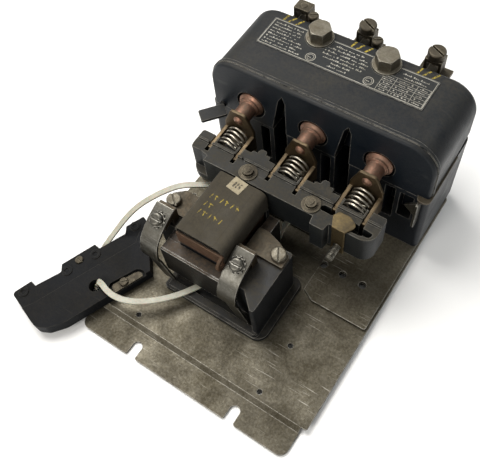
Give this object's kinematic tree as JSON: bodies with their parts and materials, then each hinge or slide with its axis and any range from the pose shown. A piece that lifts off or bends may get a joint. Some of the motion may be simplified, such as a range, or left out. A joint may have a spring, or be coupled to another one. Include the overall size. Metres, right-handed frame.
{
  "type": "magnetic motor starter",
  "caption": "Open magnetic motor starter on a steel plate: moulded contact block, sprung crossbar, coil and magnet housing, with a loose moulded bar tied on.",
  "frame": {"origin": "centre of the four mounting slots, on the plate's mounting plane", "axes": "+Z out of the plate, +Y toward the contact block and its line terminals, +X to the right with the coil nearest"},
  "size_m": [0.2367, 0.2906, 0.1275],
  "materials": {
    "black_moulding": "worn matt moulding",
    "bare_steel": "worn and stained",
    "dark_steel": "darkened steel",
    "nameplate": "etched, dark field",
    "copper": "tarnished copper",
    "brass": "tarnished brass",
    "coil_varnish": "varnished winding",
    "coil_tape": "dusty varnished tape",
    "paper": "aged paper",
    "nylon": "natural nylon"
  },
  "bodies": {
    "frame": {"base_plate": "bare_steel", "cable_tie": "nylon", "clip_brackets": "dark_steel", "clip_lock_washers": "bare_steel", "clip_screws": "bare_steel", "coil_cheeks": "black_moulding", "coil_guide_tube": "brass", "coil_lead": "copper", "coil_tag": "paper", "coil_winding": "coil_varnish", "coil_wrap": "coil_tape", "contact_base": "black_moulding", "contact_hood": "black_moulding", "core_plate_screws": "bare_steel", "core_plates": "dark_steel", "core_sides": "dark_steel", "fixed_pole": "dark_steel", "front_yoke": "dark_steel", "hood_bolts": "bare_steel", "hood_washers": "bare_steel", "left_tab": "dark_steel", "line_contacts": "copper", "line_lugs": "dark_steel", "line_screws": "dark_steel", "line_side_posts": "dark_steel", "load_contacts": "copper", "load_screws": "dark_steel", "loose_bar": "black_moulding", "loose_bar_insert": "brass", "loose_bar_screws": "dark_steel", "magnet_housing": "black_moulding", "nameplate": "nameplate", "right_tab": "bare_steel", "side_plate": "bare_steel", "strap_clip_left": "bare_steel", "strap_clip_right": "bare_steel", "sub_plate": "dark_steel"},
    "carriage": {"crossbar": "black_moulding", "stud_hardware": "dark_steel", "brass_strip": "brass", "adjusting_screw": "bare_steel", "push_rod": "brass", "armature": "dark_steel", "contact_spring_1": "bare_steel", "contact_spring_2": "bare_steel", "contact_spring_3": "bare_steel"},
    "pole_1": {"plunger_1": "copper", "stirrup_1": "brass", "through_bolt_1": "copper", "bridge_contact_1": "copper"},
    "pole_2": {"plunger_2": "copper", "stirrup_2": "brass", "through_bolt_2": "copper", "bridge_contact_2": "copper"},
    "pole_3": {"plunger_3": "copper", "stirrup_3": "brass", "through_bolt_3": "copper", "bridge_contact_3": "copper"}
  },
  "joints": [
    {"name": "carriage_slide", "type": "slide", "parent": "frame", "child": "carriage", "axis": [0, 1, 0], "range_m": [0, 0.007], "stiffness_N_per_m": 300, "springref_m": -0.004},
    {"name": "pole_1_slide", "type": "slide", "parent": "carriage", "child": "pole_1", "axis": [0, 1, 0], "range_m": [-0.0025, 0], "stiffness_N_per_m": 600, "springref_m": 0.001, "deforming": ["contact_spring_1"]},
    {"name": "pole_2_slide", "type": "slide", "parent": "carriage", "child": "pole_2", "axis": [0, 1, 0], "range_m": [-0.0025, 0], "stiffness_N_per_m": 600, "springref_m": 0.001, "deforming": ["contact_spring_2"]},
    {"name": "pole_3_slide", "type": "slide", "parent": "carriage", "child": "pole_3", "axis": [0, 1, 0], "range_m": [-0.0025, 0], "stiffness_N_per_m": 600, "springref_m": 0.001, "deforming": ["contact_spring_3"]}
  ],
  "couplings": [
    {"joint": "pole_1_slide", "follows": "carriage_slide", "ratio": -0.357},
    {"joint": "pole_2_slide", "follows": "carriage_slide", "ratio": -0.357},
    {"joint": "pole_3_slide", "follows": "carriage_slide", "ratio": -0.357}
  ]
}
